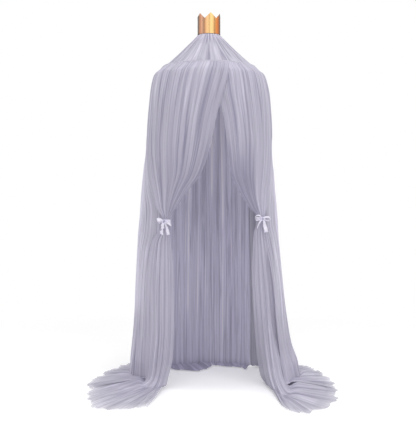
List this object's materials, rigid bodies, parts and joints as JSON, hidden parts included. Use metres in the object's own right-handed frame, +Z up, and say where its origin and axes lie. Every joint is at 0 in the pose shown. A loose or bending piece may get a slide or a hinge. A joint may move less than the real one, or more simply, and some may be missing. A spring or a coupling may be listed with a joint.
{
  "type": "bed crown canopy",
  "caption": "Net bed canopy that hangs from a ring: gold crown, cone, round hoop, and a long skirt whose front curtains are tied back with ribbon bows.",
  "frame": {"origin": "inner top of the hang ring, where a hook bears", "axes": "+Z up, +X to the right seen from the front, -Y to the front, where the curtains open"},
  "size_m": [1.2737, 1.1499, 1.952],
  "materials": {
    "tulle": "fine matt net",
    "ribbon": "satin",
    "binding": "woven tape",
    "gold": "polished",
    "steel": "polished",
    "rod": "smooth"
  },
  "bodies": {
    "hanger": {"hang_ring": "steel"},
    "canopy": {"hang_loop": "ribbon", "neck_binding": "binding", "top_cone": "tulle", "hoop_arc_1": "rod", "hoop_arc_2": "rod", "hoop_arc_3": "rod", "hoop_arc_4": "rod", "hoop_sleeve_1": "rod", "hoop_sleeve_2": "rod", "hoop_sleeve_3": "rod", "hoop_sleeve_4": "rod", "hoop_casing": "binding", "left_curtain": "tulle", "right_curtain": "tulle", "left_side_panel": "tulle", "back_panel": "tulle", "right_side_panel": "tulle", "left_tie_band": "ribbon", "left_bow_knot": "ribbon", "left_bow_loop_left": "ribbon", "left_bow_loop_right": "ribbon", "left_bow_tail_left": "ribbon", "left_bow_tail_right": "ribbon", "right_tie_band": "ribbon", "right_bow_knot": "ribbon", "right_bow_loop_left": "ribbon", "right_bow_loop_right": "ribbon", "right_bow_tail_left": "ribbon", "right_bow_tail_right": "ribbon"},
    "crown": {"crown_band": "gold", "crown_stud_upper": "gold", "crown_stud_lower": "gold"}
  },
  "joints": [
    {"name": "canopy_swing", "type": "hinge", "parent": "hanger", "child": "canopy", "pos_m": [0, 0, -0.0255], "axis": [0, 1, 0], "range_deg": [-10, 10]},
    {"name": "crown_lift", "type": "slide", "parent": "canopy", "child": "crown", "axis": [0, 0, 1], "range_m": [0, 0.15]}
  ]
}
